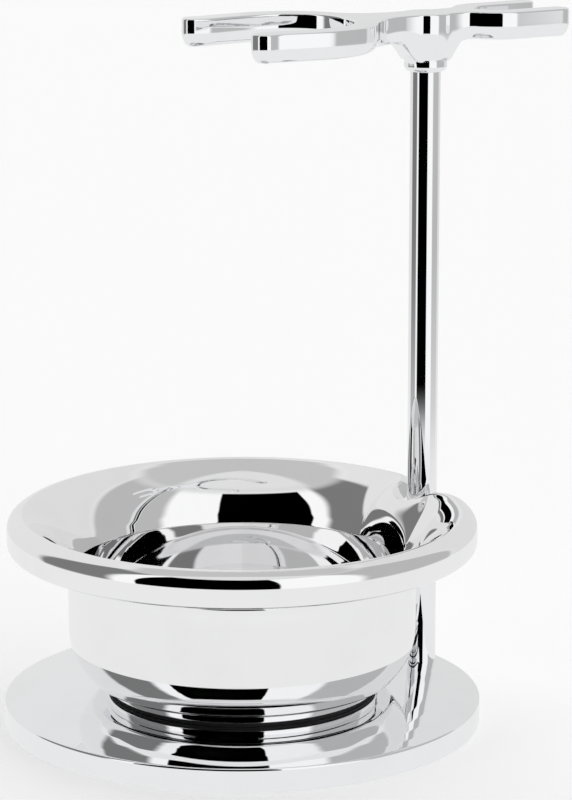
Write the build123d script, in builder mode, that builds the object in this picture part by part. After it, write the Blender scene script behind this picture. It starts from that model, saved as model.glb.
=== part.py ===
"""Chrome shaving stand: base plate, post, four-pronged holder and a removable lather bowl.

Frame: millimetres, +Z up, origin at the centre of the underside. The post stands on +X, the
stand is symmetric about the XZ plane, the brush fork reaches back over the bowl towards -X
and the razor fork reaches out towards +X.
"""
import os
from math import atan2, cos, pi, radians, sin, tan

from build123d import *

# ---- base plate
base_radius = 55.0
base_edge_height = 6.0
base_crown_rise = 1.7
base_edge_round = 0.4
seat_radius = 33.0
pad_recess_margin = 3.8
pad_recess_depth = 1.2
pad_proud = 0.4
pad_side_gap = 0.2

# ---- post and its fasteners
post_offset = 48.3
post_diameter = 7.0
post_end_chamfer = 0.3
post_socket_depth = 1.4
post_fit_gap = 0.02
screw_diameter = 4.0
screw_hole_gap = 0.15
screw_reach = 12.0
screw_head_diameter = 7.0
screw_head_height = 1.7
screw_head_round = 0.4
screw_key_size = 2.5
screw_key_depth = 1.0
washer_diameter = 7.6
washer_thickness = 0.6
counterbore_gap = 0.4
counterbore_depth = 2.5
tap_spare_depth = 2.0

# ---- holder head
stand_height = 161.4
arm_height = 6.5
arm_top_round = 0.5
arm_belly_round = 2.3
boss_diameter = 9.8
boss_length = 7.0
boss_flare = 5.6
boss_lip_round = 1.2
head_socket_depth = 6.4
stud_post_depth = 8.0
stud_head_depth = 5.0
hub_radius = 5.7
hub_blend = 3.0
neck_width = 8.8
brush_neck_blend = 13.0
razor_neck_blend = 4.0

# ---- brush fork, measured from the post's axis
brush_ring_reach = 36.0
brush_ring_radius = 17.4
brush_waist_reach = 47.0
brush_waist_half_gap = 16.6
brush_tip_reach = 54.0
brush_tip_half_gap = 17.3
brush_prong_width = 5.6
brush_tip_round = 2.5

# ---- razor fork, measured from the post's axis
razor_root_reach = 18.6
razor_root_radius = 7.4
razor_tip_reach = 33.6
razor_tip_half_gap = 7.6
razor_prong_width = 5.2
razor_tip_round = 2.4

# ---- bowl
gasket_thickness = 0.9
gasket_width = 1.5
foot_radius = 31.4
foot_width = 2.3
foot_height = 2.3
foot_round = 0.35
bowl_wall = 1.1
bowl_wall_radius = 40.1
bowl_shoulder_height = 6.8
bowl_shoulder_round = 16.0
bowl_heel_radius = 35.0
bowl_heel_round = 2.5
bowl_height_to_mouth = 25.6
mouth_radius = 38.6
mouth_round = 1.8
neck_drop = 3.2
neck_round = 1.5
brim_slope_deg = 48.0
brim_turn_deg = 44.0
brim_dish_round = 17.0
lip_radius = 54.0
lip_width = 3.2
lip_height = 8.7
lip_shoulder_drop = 2.0
lip_crest_round = 2.0
lip_shoulder_round = 3.0
lip_underside_round = 1.8
lip_return_width = 1.0
lip_return_round = 0.7

# ---- notch that lets the brim pass round the post
notch_gap = 1.4
notch_lip_width = 3.6
notch_lip_drop = 3.4
notch_lip_round = 1.6

# ---- heights worked out from the sizes above
seat_z = base_edge_height + base_crown_rise
recess_z = pad_proud + pad_recess_depth
post_radius = post_diameter / 2
crown_run = base_radius - seat_radius
crown_fall = base_crown_rise * ((post_offset - seat_radius) / crown_run) ** 2
post_surface_z = seat_z - crown_fall
post_bottom_z = post_surface_z - post_socket_depth
head_bottom_z = stand_height - arm_height - boss_length
post_top_z = head_bottom_z + head_socket_depth
arm_bottom_z = stand_height - arm_height
foot_z = seat_z + gasket_thickness
bowl_bottom_z = foot_z + foot_height
bowl_floor_z = bowl_bottom_z + bowl_wall
mouth_z = bowl_bottom_z + bowl_height_to_mouth
brim_slope = radians(brim_slope_deg)
brim_foot_slope = radians(brim_slope_deg + brim_turn_deg / 2)
brim_crest_slope = radians(brim_slope_deg - brim_turn_deg / 2)

os.makedirs("parts", exist_ok=True)


def save(piece, name):
    """Label one finished piece and write it as its own node."""
    piece.part.label = name
    export_step(piece.part, f"parts/{name}.step")


# ---- base plate: a heavy disc, flat where the bowl stands and crowned down to its edge
crown_mid_r = seat_radius + crown_run / 2
crown_mid_z = seat_z - base_crown_rise / 4
plate_rim_z = base_edge_height
recess_radius = base_radius - pad_recess_margin
counterbore_radius = washer_diameter / 2 + counterbore_gap
counterbore_top_z = recess_z + counterbore_depth

with BuildPart() as base_plate:
    with BuildSketch(Plane.XZ):
        with BuildLine():
            Polyline((0, recess_z), (recess_radius, recess_z), (recess_radius, pad_proud),
                     (base_radius, pad_proud), (base_radius, plate_rim_z))
            ThreePointArc((base_radius, plate_rim_z), (crown_mid_r, crown_mid_z),
                          (seat_radius, seat_z))
            Polyline((seat_radius, seat_z), (0, seat_z), (0, recess_z))
        make_face()
    revolve(axis=Axis.Z)
    outer_rims = base_plate.edges().filter_by(GeomType.CIRCLE).filter_by(
        lambda rim: abs(rim.radius - base_radius) < 0.01)
    fillet(outer_rims, base_edge_round)
    with BuildSketch(Plane.XY.offset(post_bottom_z)):
        with Locations((post_offset, 0)):
            Circle(post_radius + post_fit_gap)
    extrude(amount=base_crown_rise + post_socket_depth, mode=Mode.SUBTRACT)
    with BuildSketch(Plane.XY.offset(recess_z)):
        with Locations((post_offset, 0)):
            Circle(screw_diameter / 2 + screw_hole_gap)
    extrude(amount=seat_z, mode=Mode.SUBTRACT)
    with BuildSketch(Plane.XY.offset(recess_z)):
        with Locations((post_offset, 0)):
            Circle(counterbore_radius)
    extrude(amount=counterbore_depth, mode=Mode.SUBTRACT)
save(base_plate, "base_plate")

# ---- non-slip pad: a disc in the recess, standing proud of the plate's rim
with BuildPart() as base_pad:
    with BuildSketch(Plane.XY):
        Circle(recess_radius - pad_side_gap)
    extrude(amount=recess_z)
save(base_pad, "base_pad")

# ---- post: a plain rod, drilled and tapped at both ends
tap_radius = screw_diameter / 2
bottom_tap_depth = screw_reach - (post_bottom_z - counterbore_top_z) + tap_spare_depth
top_tap_depth = stud_post_depth + tap_spare_depth

with BuildPart() as post:
    with BuildSketch(Plane.XY.offset(post_bottom_z)):
        with Locations((post_offset, 0)):
            Circle(post_radius)
    extrude(amount=post_top_z - post_bottom_z)
    chamfer(post.edges().filter_by(GeomType.CIRCLE), post_end_chamfer)
    with BuildSketch(Plane.XY.offset(post_bottom_z)):
        with Locations((post_offset, 0)):
            Circle(tap_radius)
    extrude(amount=bottom_tap_depth, mode=Mode.SUBTRACT)
    with BuildSketch(Plane.XY.offset(post_top_z)):
        with Locations((post_offset, 0)):
            Circle(tap_radius)
    extrude(amount=-top_tap_depth, mode=Mode.SUBTRACT)
save(post, "post")

# ---- lock washer and screw that pull the post down into the plate
washer_z = counterbore_top_z - washer_thickness
head_z = washer_z - screw_head_height

with BuildPart() as lock_washer:
    with BuildSketch(Plane.XY.offset(washer_z)):
        with Locations((post_offset, 0)):
            Circle(washer_diameter / 2)
            Circle(screw_diameter / 2 + screw_hole_gap, mode=Mode.SUBTRACT)
    extrude(amount=washer_thickness)
save(lock_washer, "lock_washer")

with BuildPart() as post_screw:
    with BuildSketch(Plane.XY.offset(head_z)):
        with Locations((post_offset, 0)):
            Circle(screw_head_diameter / 2)
    extrude(amount=screw_head_height)
    fillet(post_screw.edges().filter_by(GeomType.CIRCLE).sort_by(Axis.Z)[0], screw_head_round)
    with BuildSketch(Plane.XY.offset(washer_z)):
        with Locations((post_offset, 0)):
            Circle(screw_diameter / 2)
    extrude(amount=washer_thickness + screw_reach)
    with BuildSketch(Plane.XY.offset(head_z)):
        with Locations((post_offset, 0)):
            RegularPolygon(screw_key_size / 2, 6, major_radius=False)
    extrude(amount=screw_key_depth, mode=Mode.SUBTRACT)
save(post_screw, "post_screw")

# ---- stud that joins the post to the holder head
with BuildPart() as head_stud:
    with BuildSketch(Plane.XY.offset(post_top_z - stud_post_depth)):
        with Locations((post_offset, 0)):
            Circle(screw_diameter / 2)
    extrude(amount=stud_post_depth + stud_head_depth)
save(head_stud, "head_stud")


# ---- holder head: one casting with two forks, flat on top and round underneath
def fork_centre_line(side):
    """Draw one half of the brush fork's centre line, on the side given as +1 or -1."""
    ring_top = (post_offset - brush_ring_reach, side * brush_ring_radius)
    ring_root = (post_offset - brush_ring_reach + brush_ring_radius, 0)
    ring_mid_x = post_offset - brush_ring_reach + brush_ring_radius * cos(radians(45))
    ring_mid = (ring_mid_x, side * brush_ring_radius * sin(radians(45)))
    waist = (post_offset - brush_waist_reach, side * brush_waist_half_gap)
    tip = (post_offset - brush_tip_reach, side * brush_tip_half_gap)
    ThreePointArc(ring_root, ring_mid, ring_top)
    inward = TangentArc(ring_top, waist, tangent=(-1, 0))
    TangentArc(waist, tip, tangent=inward % 1)


def razor_centre_line(side):
    """Draw one half of the razor fork's centre line, on the side given as +1 or -1."""
    root_x = post_offset + razor_root_reach
    root = (root_x - razor_root_radius, 0)
    shoulder_mid = (root_x - razor_root_radius * cos(radians(45)),
                    side * razor_root_radius * sin(radians(45)))
    shoulder = (root_x, side * razor_root_radius)
    tip = (post_offset + razor_tip_reach, side * razor_tip_half_gap)
    ThreePointArc(root, shoulder_mid, shoulder)
    TangentArc(shoulder, tip, tangent=(1, 0))


neck_far_x = post_offset - brush_ring_reach + brush_ring_radius
neck_near_x = post_offset + razor_root_reach - razor_root_radius
neck_mid_x = (neck_far_x + neck_near_x) / 2
neck_length = neck_near_x - neck_far_x


def neck_corners(low_x, high_x):
    """Find the corners where the neck's two sides meet another outline between two stations."""
    return head_plan.vertices().filter_by(
        lambda corner: abs(abs(corner.Y) - neck_width / 2) < 0.05 and low_x < corner.X < high_x)


def tip_corners(line, width):
    """Find the four corners at a fork's two tips, from one half of its centre line."""
    tip = line.edges().sort_by(lambda edge: abs(edge.center().X - post_offset))[-1]
    tip_end = max((tip @ 0, tip @ 1), key=lambda point: abs(point.X - post_offset))
    return head_plan.vertices().filter_by(
        lambda corner: abs(((corner.X - tip_end.X) ** 2 + (abs(corner.Y) - abs(tip_end.Y)) ** 2) ** 0.5
                           - width / 2) < 0.05)


with BuildSketch(Plane.XY.offset(arm_bottom_z)) as head_plan:
    for side in (1, -1):
        with BuildLine() as brush_line:
            fork_centre_line(side)
        trace(brush_line.edges(), brush_prong_width)
        with BuildLine() as razor_line:
            razor_centre_line(side)
        trace(razor_line.edges(), razor_prong_width)
    with Locations((neck_mid_x, 0)):
        Rectangle(neck_length, neck_width)
    with Locations((post_offset, 0)):
        Circle(hub_radius)
    fillet(neck_corners(neck_far_x, post_offset - hub_radius), brush_neck_blend)
    fillet(neck_corners(post_offset + hub_radius, neck_near_x), razor_neck_blend)
    hub_corners = neck_corners(post_offset - hub_radius, post_offset + hub_radius)
    fillet(hub_corners, hub_blend)
    fillet(tip_corners(brush_line, brush_prong_width), brush_tip_round)
    fillet(tip_corners(razor_line, razor_prong_width), razor_tip_round)

boss_radius = boss_diameter / 2
flare_top_z = arm_bottom_z + arm_height / 2
flare_bottom_z = arm_bottom_z - boss_flare

with BuildPart() as boss:
    with BuildSketch(Plane.XY.offset(head_bottom_z)) as boss_plan:
        add(head_plan.sketch.moved(Location((0, 0, head_bottom_z - arm_bottom_z))))
    extrude(amount=flare_top_z - head_bottom_z)
    with BuildSketch(Plane.XZ.move(Location((post_offset, 0, 0)))):
        with BuildLine():
            Polyline((0, head_bottom_z), (boss_radius, head_bottom_z),
                     (boss_radius, flare_bottom_z))
            RadiusArc((boss_radius, flare_bottom_z), (boss_radius + boss_flare, arm_bottom_z),
                      boss_flare)
            Polyline((boss_radius + boss_flare, arm_bottom_z),
                     (boss_radius + boss_flare, flare_top_z), (0, flare_top_z),
                     (0, head_bottom_z))
        make_face()
    revolve(axis=Axis((post_offset, 0, 0), (0, 0, 1)), mode=Mode.INTERSECT)
    fillet(boss.edges().sort_by(Axis.Z)[0], boss_lip_round)

with BuildPart() as holder_head:
    extrude(head_plan.sketch, amount=arm_height)
    belly_edges = holder_head.edges().filter_by(
        lambda edge: abs(edge.bounding_box().max.Z - arm_bottom_z) < 0.001)
    fillet(belly_edges, arm_belly_round)
    top_edges = holder_head.edges().filter_by(
        lambda edge: abs(edge.bounding_box().min.Z - stand_height) < 0.001)
    fillet(top_edges, arm_top_round)
    add(boss.part)
    with BuildSketch(Plane.XY.offset(head_bottom_z)):
        with Locations((post_offset, 0)):
            Circle(post_radius + post_fit_gap)
    extrude(amount=head_socket_depth, mode=Mode.SUBTRACT)
    with BuildSketch(Plane.XY.offset(post_top_z)):
        with Locations((post_offset, 0)):
            Circle(tap_radius)
    extrude(amount=stud_head_depth, mode=Mode.SUBTRACT)
save(holder_head, "holder_head")

# ---- bowl shell: spun from sheet, with a dished brim that ends in a thick rounded lip
crest_radius = lip_radius - lip_width
crest_z = mouth_z + (crest_radius - mouth_radius) * tan(brim_slope)
lip_bottom_z = crest_z - lip_height
neck_radius = mouth_radius + bowl_wall
inner_wall_radius = bowl_wall_radius - bowl_wall
shoulder_z = bowl_bottom_z + bowl_shoulder_height
shoulder_turn = atan2(bowl_wall_radius - bowl_heel_radius, bowl_shoulder_height)
heel_turn = pi / 2 - shoulder_turn
inner_shoulder_z = shoulder_z + bowl_wall * tan(shoulder_turn / 2)
inner_heel_radius = bowl_heel_radius - bowl_wall * tan(heel_turn / 2)
lip_return_radius = crest_radius - lip_return_width


def dish_line(end_radius, end_z, slope, depth):
    """Give one end's tangent line of the dished brim, some depth below its top: a point and a slope."""
    return end_radius + depth * sin(slope), end_z - depth * cos(slope), tan(slope)


def dish_turn(depth):
    """Find where the two tangent lines of the dished brim meet, some depth below its top."""
    foot_r, foot_z, foot_rise = dish_line(mouth_radius, mouth_z, brim_foot_slope, depth)
    top_r, top_z, top_rise = dish_line(crest_radius, crest_z, brim_crest_slope, depth)
    turn_r = (top_z - foot_z - top_r * top_rise + foot_r * foot_rise) / (foot_rise - top_rise)
    return turn_r, foot_z + (turn_r - foot_r) * foot_rise


foot_line_r, foot_line_z, foot_line_rise = dish_line(
    mouth_radius, mouth_z, brim_foot_slope, bowl_wall)
top_line_r, top_line_z, top_line_rise = dish_line(
    crest_radius, crest_z, brim_crest_slope, bowl_wall)
neck_top_z = foot_line_z + (neck_radius - foot_line_r) * foot_line_rise
lip_return_z = top_line_z + (lip_return_radius - top_line_r) * top_line_rise
under_turn_r, under_turn_z = dish_turn(bowl_wall)
under_round = brim_dish_round - bowl_wall


def inside_sheet(radius):
    """Height of the middle of the brim's sheet at a radius near one of its ends."""
    near_mouth = radius < (mouth_radius + crest_radius) / 2
    end = (mouth_radius, mouth_z) if near_mouth else (crest_radius, crest_z)
    slope = brim_foot_slope if near_mouth else brim_crest_slope
    start_r, start_z, rise = dish_line(*end, slope, bowl_wall / 2)
    return start_z + (radius - start_r) * rise


half_round = brim_dish_round - bowl_wall / 2
half_turn_r, half_turn_z = dish_turn(bowl_wall / 2)
turn_inset = half_round * (1 / cos(radians(brim_turn_deg / 2)) - 1)
half_mid_r = half_turn_r + turn_inset * sin(brim_slope)
half_mid_z = half_turn_z - turn_inset * cos(brim_slope)


with BuildPart() as bowl_shell:
    with BuildSketch(Plane.XZ):
        with BuildLine():
            skin = FilletPolyline(
                (0, bowl_floor_z),
                (inner_heel_radius, bowl_floor_z),
                (inner_wall_radius, inner_shoulder_z),
                (mouth_radius, mouth_z),
                dish_turn(0),
                (crest_radius, crest_z),
                (lip_radius, crest_z - lip_shoulder_drop),
                (lip_radius, lip_bottom_z),
                (crest_radius, lip_bottom_z),
                (lip_return_radius, lip_return_z),
                (under_turn_r, under_turn_z),
                (neck_radius, neck_top_z),
                (bowl_wall_radius, mouth_z - neck_drop),
                (bowl_wall_radius, shoulder_z),
                (bowl_heel_radius, bowl_bottom_z),
                (0, bowl_bottom_z),
                radius=[bowl_heel_round - bowl_wall, bowl_shoulder_round - bowl_wall,
                        mouth_round, brim_dish_round, lip_crest_round, lip_shoulder_round,
                        lip_underside_round, lip_return_round, lip_return_round, under_round,
                        neck_round, neck_round, bowl_shoulder_round, bowl_heel_round],
            )
            Line(skin @ 1, skin @ 0)
        make_face()
    revolve(axis=Axis.Z)


# ---- notch: the brim is pressed in round the post and its edge stands up like the lip
def notch_outline(half_width):
    """Draw a slot of the given half width, round about the post and open outwards."""
    Circle(half_width)
    with Locations(((lip_radius - post_offset + notch_half_width) / 2, 0)):
        Rectangle(lip_radius - post_offset + notch_half_width, 2 * half_width)


notch_half_width = post_radius + notch_gap
notch_outer_width = notch_half_width + notch_lip_width
notch_top_z = crest_z - notch_lip_drop
post_plane = Plane.XY.move(Location((post_offset, 0, 0)))

with BuildPart() as notch_lip:
    with BuildSketch(post_plane.offset(mouth_z)):
        notch_outline(notch_outer_width)
        with Locations((-post_offset, 0)):
            Circle(lip_radius - lip_crest_round, mode=Mode.INTERSECT)
    extrude(amount=notch_top_z - mouth_z)
    with BuildSketch(post_plane.offset(mouth_z)):
        notch_outline(notch_half_width)
    extrude(amount=notch_top_z - mouth_z, mode=Mode.SUBTRACT)
    notch_rims = notch_lip.edges().group_by(Axis.Z)[-1]
    fillet(notch_rims, notch_lip_round)
    with BuildSketch(Plane.XZ):
        with BuildLine():
            Polyline((0, 0), (lip_radius + 1, 0), (lip_radius + 1, lip_bottom_z),
                     (lip_return_radius, inside_sheet(lip_return_radius)),
                     (half_mid_r, half_mid_z), (neck_radius, inside_sheet(neck_radius)),
                     (0, inside_sheet(neck_radius)),
                     (0, 0))
        make_face()
    revolve(axis=Axis.Z, mode=Mode.SUBTRACT)

with bowl_shell:
    with BuildSketch(post_plane.offset(mouth_z)):
        notch_outline(notch_half_width)
    extrude(amount=crest_z - mouth_z + 1, mode=Mode.SUBTRACT)
    add(notch_lip.part)
save(bowl_shell, "bowl_shell")

# ---- foot ring soldered under the bowl, and the rubber ring that it stands on
with BuildPart() as bowl_foot_ring:
    with BuildSketch(Plane.XY.offset(foot_z)):
        Circle(foot_radius)
        Circle(foot_radius - foot_width, mode=Mode.SUBTRACT)
    extrude(amount=foot_height)
    foot_rims = bowl_foot_ring.edges().group_by(Axis.Z)[0]
    fillet(foot_rims, foot_round)
save(bowl_foot_ring, "bowl_foot_ring")

gasket_mid_radius = foot_radius - foot_width / 2
with BuildPart() as bowl_foot_gasket:
    with BuildSketch(Plane.XY.offset(seat_z)):
        Circle(gasket_mid_radius + gasket_width / 2)
        Circle(gasket_mid_radius - gasket_width / 2, mode=Mode.SUBTRACT)
    extrude(amount=gasket_thickness)
save(bowl_foot_gasket, "bowl_foot_gasket")
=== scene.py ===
"""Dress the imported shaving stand: smooth chrome pieces, a pale studio and the camera."""

import logging
import math
from collections.abc import Sequence
from dataclasses import dataclass, field
from enum import Enum

import bmesh
import bpy
from mathutils import Matrix, Vector

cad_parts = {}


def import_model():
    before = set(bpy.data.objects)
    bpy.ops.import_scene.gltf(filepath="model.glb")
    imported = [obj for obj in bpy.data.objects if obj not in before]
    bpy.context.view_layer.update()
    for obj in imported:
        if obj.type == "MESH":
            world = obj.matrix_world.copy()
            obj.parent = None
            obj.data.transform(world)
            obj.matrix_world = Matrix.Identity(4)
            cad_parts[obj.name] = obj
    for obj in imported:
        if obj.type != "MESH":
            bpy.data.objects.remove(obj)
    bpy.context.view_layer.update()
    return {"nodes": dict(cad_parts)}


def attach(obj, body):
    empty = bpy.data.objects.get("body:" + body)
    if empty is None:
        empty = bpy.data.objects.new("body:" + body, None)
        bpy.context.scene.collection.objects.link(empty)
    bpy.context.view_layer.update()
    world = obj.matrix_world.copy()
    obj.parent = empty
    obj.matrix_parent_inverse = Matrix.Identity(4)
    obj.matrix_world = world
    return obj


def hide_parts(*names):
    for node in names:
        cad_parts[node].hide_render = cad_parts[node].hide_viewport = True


log = logging.getLogger("shaving_stand")

MM = 0.001
Point = tuple[float, float]


class Body(Enum):
    """The rigid bodies that pieces ride on."""

    STAND = "stand"
    BOWL = "bowl"


class Slot(Enum):
    """The record's material slots."""

    POLISHED = "polished_chrome"
    BOWL = "bowl_chrome"
    PLATED = "plated_steel"
    PAD = "pad_rubber"
    GASKET = "gasket_rubber"


# ---------------------------------------------------------------- node helpers


@dataclass
class NodeSheet:
    """A thin wrapper that adds and joins shader nodes in one tree.

    Attributes:
        tree: The node tree that is being filled.
    """

    tree: bpy.types.NodeTree

    def add(self, kind: str, **settings: object) -> bpy.types.Node:
        """Add a node and set its properties.

        Args:
            kind: The node's type identifier.
            **settings: Properties of the node, by name.

        Returns:
            The new node.
        """
        node = self.tree.nodes.new(kind)
        for name, value in settings.items():
            setattr(node, name, value)
        return node

    def join(self, source: bpy.types.NodeSocket, target: bpy.types.NodeSocket) -> None:
        """Link one socket to another."""
        self.tree.links.new(source, target)

    def math(self, operation: str, *inputs: object, clamp: bool = False) -> bpy.types.NodeSocket:
        """Add a Math node.

        Args:
            operation: The Math node's operation.
            *inputs: Numbers or sockets, in order.
            clamp: Whether the result is kept between 0 and 1.

        Returns:
            The node's output socket.
        """
        node = self.add("ShaderNodeMath", operation=operation, use_clamp=clamp)
        for index, value in enumerate(inputs):
            if isinstance(value, bpy.types.NodeSocket):
                self.join(value, node.inputs[index])
            else:
                node.inputs[index].default_value = float(value)
        return node.outputs[0]

    def smooth_step(self, value: bpy.types.NodeSocket, start: float, end: float) -> bpy.types.NodeSocket:
        """Map a value to 0 below start and 1 above end, with a smooth rise between.

        Args:
            value: The socket to map.
            start: Where the rise begins.
            end: Where the rise ends.

        Returns:
            The mapped socket.
        """
        node = self.add("ShaderNodeMapRange", interpolation_type="SMOOTHSTEP")
        self.join(value, node.inputs["Value"])
        node.inputs["From Min"].default_value = start
        node.inputs["From Max"].default_value = end
        return node.outputs["Result"]


# ---------------------------------------------------------------- finishes


@dataclass(frozen=True)
class ChromeFinish:
    """Mirror chrome with a faint polishing haze.

    Attributes:
        name: The material's name.
        tint: Base colour of the plating.
        roughness: Roughness of the clean plating.
        haze: How much roughness the polishing haze adds.
        haze_scale: Size of the haze patches, per metre.
    """

    name: str
    tint: tuple[float, float, float] = (0.93, 0.935, 0.945)
    roughness: float = 0.012
    haze: float = 0.035
    haze_scale: float = 60.0

    def make(self) -> bpy.types.Material:
        """Build the material.

        Returns:
            The finished material.
        """
        material = bpy.data.materials.new(self.name)
        material.use_nodes = True
        sheet = NodeSheet(material.node_tree)
        shader = material.node_tree.nodes["Principled BSDF"]
        shader.inputs["Metallic"].default_value = 1.0
        place = sheet.add("ShaderNodeTexCoord")
        haze = sheet.add("ShaderNodeTexNoise")
        haze.inputs["Scale"].default_value = self.haze_scale
        haze.inputs["Detail"].default_value = 6.0
        haze.inputs["Roughness"].default_value = 0.6
        sheet.join(place.outputs["Object"], haze.inputs["Vector"])
        patches = sheet.smooth_step(haze.outputs["Fac"], 0.42, 0.78)
        added = sheet.math("MULTIPLY", patches, self.haze)
        sheet.join(sheet.math("ADD", added, self.roughness), shader.inputs["Roughness"])
        tone = sheet.add("ShaderNodeMix", data_type="RGBA")
        tone.inputs["A"].default_value = (*self.tint, 1.0)
        tone.inputs["B"].default_value = (*(channel * 0.975 for channel in self.tint), 1.0)
        sheet.join(patches, tone.inputs["Factor"])
        sheet.join(tone.outputs["Result"], shader.inputs["Base Color"])
        return material


@dataclass(frozen=True)
class SteelFinish:
    """Zinc-plated steel of the hidden fasteners, with fine turning marks.

    Attributes:
        name: The material's name.
        tint: Base colour.
        roughness: Middle roughness.
        mark_scale: Number of turning marks per metre.
    """

    name: str
    tint: tuple[float, float, float] = (0.55, 0.56, 0.57)
    roughness: float = 0.34
    mark_scale: float = 900.0

    def make(self) -> bpy.types.Material:
        """Build the material.

        Returns:
            The finished material.
        """
        material = bpy.data.materials.new(self.name)
        material.use_nodes = True
        sheet = NodeSheet(material.node_tree)
        shader = material.node_tree.nodes["Principled BSDF"]
        shader.inputs["Metallic"].default_value = 1.0
        shader.inputs["Base Color"].default_value = (*self.tint, 1.0)
        place = sheet.add("ShaderNodeTexCoord")
        marks = sheet.add("ShaderNodeTexNoise")
        marks.inputs["Scale"].default_value = self.mark_scale
        marks.inputs["Detail"].default_value = 3.0
        sheet.join(place.outputs["Object"], marks.inputs["Vector"])
        spread = sheet.math("MULTIPLY", marks.outputs["Fac"], 0.25)
        sheet.join(sheet.math("ADD", spread, self.roughness - 0.12), shader.inputs["Roughness"])
        bump = sheet.add("ShaderNodeBump")
        bump.inputs["Strength"].default_value = 0.15
        bump.inputs["Distance"].default_value = 0.00005
        sheet.join(marks.outputs["Fac"], bump.inputs["Height"])
        sheet.join(bump.outputs["Normal"], shader.inputs["Normal"])
        return material


@dataclass(frozen=True)
class RubberFinish:
    """Matt rubber with a fine pebbled skin.

    Attributes:
        name: The material's name.
        tint: Base colour.
        grain_scale: Number of pebbles per metre.
        grain_height: Height of the pebbles, in metres.
    """

    name: str
    tint: tuple[float, float, float] = (0.018, 0.018, 0.02)
    grain_scale: float = 1400.0
    grain_height: float = 0.00006

    def make(self) -> bpy.types.Material:
        """Build the material.

        Returns:
            The finished material.
        """
        material = bpy.data.materials.new(self.name)
        material.use_nodes = True
        sheet = NodeSheet(material.node_tree)
        shader = material.node_tree.nodes["Principled BSDF"]
        place = sheet.add("ShaderNodeTexCoord")
        grain = sheet.add("ShaderNodeTexVoronoi")
        grain.inputs["Scale"].default_value = self.grain_scale
        sheet.join(place.outputs["Object"], grain.inputs["Vector"])
        wear = sheet.add("ShaderNodeTexNoise")
        wear.inputs["Scale"].default_value = 45.0
        wear.inputs["Detail"].default_value = 5.0
        sheet.join(place.outputs["Object"], wear.inputs["Vector"])
        tone = sheet.add("ShaderNodeMix", data_type="RGBA")
        tone.inputs["A"].default_value = (*self.tint, 1.0)
        tone.inputs["B"].default_value = (*(channel * 1.9 for channel in self.tint), 1.0)
        sheet.join(wear.outputs["Fac"], tone.inputs["Factor"])
        sheet.join(tone.outputs["Result"], shader.inputs["Base Color"])
        shine = sheet.math("MULTIPLY", wear.outputs["Fac"], 0.2)
        sheet.join(sheet.math("ADD", shine, 0.62), shader.inputs["Roughness"])
        bump = sheet.add("ShaderNodeBump")
        bump.inputs["Strength"].default_value = 0.6
        bump.inputs["Distance"].default_value = self.grain_height
        sheet.join(grain.outputs["Distance"], bump.inputs["Height"])
        sheet.join(bump.outputs["Normal"], shader.inputs["Normal"])
        return material


# ---------------------------------------------------------------- shape helpers


@dataclass(frozen=True)
class Corner:
    """One corner of a turned section.

    Attributes:
        radius: Distance from the axis.
        height: Height in the frame.
        rounding: Radius of the corner's rounding, or 0 for a sharp corner.
        steps: Number of spans that the rounding is drawn with.
        flowing: Whether the line runs on smoothly here, with no rounding and no close pair of points.
    """

    radius: float
    height: float
    rounding: float = 0.0
    steps: int = 4
    flowing: bool = False


def rounded_section(corners: Sequence[Corner], run_span: float) -> list[Point]:
    """Round the corners of a section and divide its straight runs.

    Each run gets a close pair of points next to its roundings, so that flat faces stay flat when the
    mesh is smoothed.

    Args:
        corners: The section's corners in order, the first and last being its open ends.
        run_span: Longest span that a straight run is divided into.

    Returns:
        The section's points.
    """
    drawn: list[list[Vector]] = []
    for index, corner in enumerate(corners):
        here = Vector((corner.radius, corner.height))
        if index in (0, len(corners) - 1) or corner.rounding == 0.0:
            drawn.append([here])
            continue
        before = (Vector((corners[index - 1].radius, corners[index - 1].height)) - here).normalized()
        after = (Vector((corners[index + 1].radius, corners[index + 1].height)) - here).normalized()
        half_angle = before.angle(after) / 2
        reach = corner.rounding / math.tan(half_angle)
        centre = here + (before + after).normalized() * (corner.rounding / math.sin(half_angle))
        start = here + before * reach - centre
        turn = start.angle_signed(here + after * reach - centre)
        arc = []
        for step in range(corner.steps + 1):
            arc.append(centre + Matrix.Rotation(-turn * step / corner.steps, 2) @ start)
        drawn.append(arc)
    points: list[Vector] = []
    for index, arc in enumerate(drawn):
        if points:
            run = arc[0] - points[-1]
            if corners[index].flowing and corners[index - 1].flowing:
                points.extend(arc)
                continue
            support = min(0.35 * MM, run.length * 0.2)
            spans = max(1, math.ceil((run.length - 2 * support) / run_span))
            start = points[-1] + run.normalized() * support
            stretch = run.normalized() * (run.length - 2 * support)
            if run.length > 0.3 * MM:
                points.extend(start + stretch * (span / spans) for span in range(spans + 1))
        points.extend(arc)
    return [(point.x, point.y) for point in points]


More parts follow.
